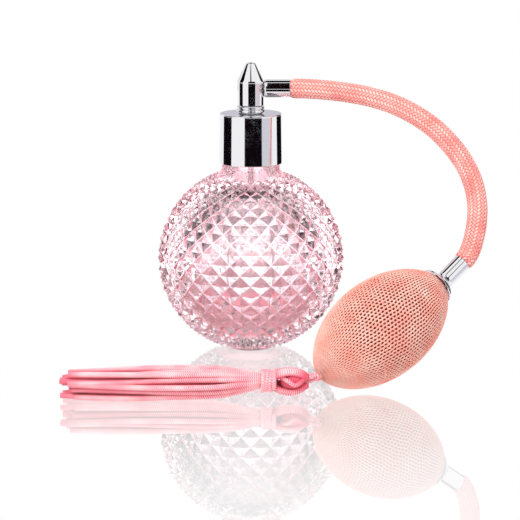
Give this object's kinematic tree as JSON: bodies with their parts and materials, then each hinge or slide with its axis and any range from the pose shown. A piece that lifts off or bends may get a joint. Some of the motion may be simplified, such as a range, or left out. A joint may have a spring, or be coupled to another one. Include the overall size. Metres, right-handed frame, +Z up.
{
  "type": "perfume atomiser",
  "caption": "Cut-glass ball perfume bottle with a screw-on chrome spray head, a braided air hose, a knitted squeeze bulb and a cord tassel.",
  "frame": {"origin": "middle of the bottle's flat base", "axes": "+Z up along the bottle's axis, +X the way the air hose leaves the spray tower, -Y the side where the bulb and tassel lie"},
  "size_m": [0.1638, 0.1293, 0.1188],
  "materials": {
    "pink_glass": "clear pressed glass, tinted pink, cut in pyramids",
    "chrome": "mirror polished",
    "white_plastic": "moulded",
    "clear_plastic": "translucent extruded",
    "black_rubber": "moulded",
    "brass": "turned",
    "valve_steel": "ground ball",
    "hose_braid": "tight braided sleeve over an air tube",
    "bulb_knit": "open knitted net",
    "bulb_rubber": "soft moulded, matt",
    "tassel_cord": "braided satin cord"
  },
  "bodies": {
    "bottle": {"glass_bottle": "pink_glass", "bottle_neck": "pink_glass"},
    "lift": {"sealing_gasket": "black_rubber", "spray_stem": "white_plastic", "dip_tube": "clear_plastic"},
    "collar": {"collar_shell": "chrome", "collar_thread_insert": "white_plastic"},
    "head": {"tower_shell": "chrome", "swivel_ring": "chrome", "spray_core": "white_plastic", "nozzle_orifice": "brass", "head_ferrule": "chrome", "head_barb": "brass", "hose": "hose_braid", "bulb_ferrule": "chrome", "bulb_saucer": "chrome", "outlet_valve_tube": "brass", "knitted_bulb_cover": "bulb_knit", "inlet_valve_plug": "brass", "cover_tail_knot": "tassel_cord", "hanging_loop": "tassel_cord"},
    "bladder": {"rubber_bulb": "bulb_rubber"},
    "outlet_ball": {"outlet_valve_ball": "valve_steel"},
    "inlet_flap": {"inlet_valve_flap": "black_rubber"},
    "tassel": {"tassel_head": "tassel_cord", "tassel_binding": "tassel_cord", "tassel_skirt": "tassel_cord"}
  },
  "joints": [
    {"name": "head_lift", "type": "slide", "parent": "bottle", "child": "lift", "axis": [0, 0, 1], "range_m": [0, 0.0045], "stiffness_N_per_m": 2, "springref_m": 0.195},
    {"name": "collar_turn", "type": "hinge", "parent": "lift", "child": "collar", "pos_m": [0, 0, 0.088], "axis": [0, 0, 1], "range_deg": [0, 540]},
    {"name": "head_swivel", "type": "hinge", "parent": "lift", "child": "head", "pos_m": [0, 0, 0.1], "axis": [0, 0, 1], "continuous": true},
    {"name": "bulb_squeeze", "type": "slide", "parent": "head", "child": "bladder", "axis": [0, 0, -1], "range_m": [0, 0.012], "stiffness_N_per_m": 600, "deforming": ["rubber_bulb"]},
    {"name": "outlet_valve_lift", "type": "slide", "parent": "head", "child": "outlet_ball", "axis": [0.748, 0.4895, 0.4482], "range_m": [0, 0.001]},
    {"name": "inlet_valve_lift", "type": "slide", "parent": "head", "child": "inlet_flap", "axis": [0.748, 0.4895, 0.4482], "range_m": [0, 0.0008]},
    {"name": "tassel_swing", "type": "hinge", "parent": "head", "child": "tassel", "pos_m": [0.0226, -0.0822, 0.0082], "axis": [0, 0, 1], "range_deg": [-30, 30]}
  ],
  "couplings": [
    {"joint": "collar_turn", "follows": "head_lift", "rad_per_m": 2094.4},
    {"joint": "outlet_valve_lift", "follows": "bulb_squeeze", "ratio": 0.08}
  ]
}
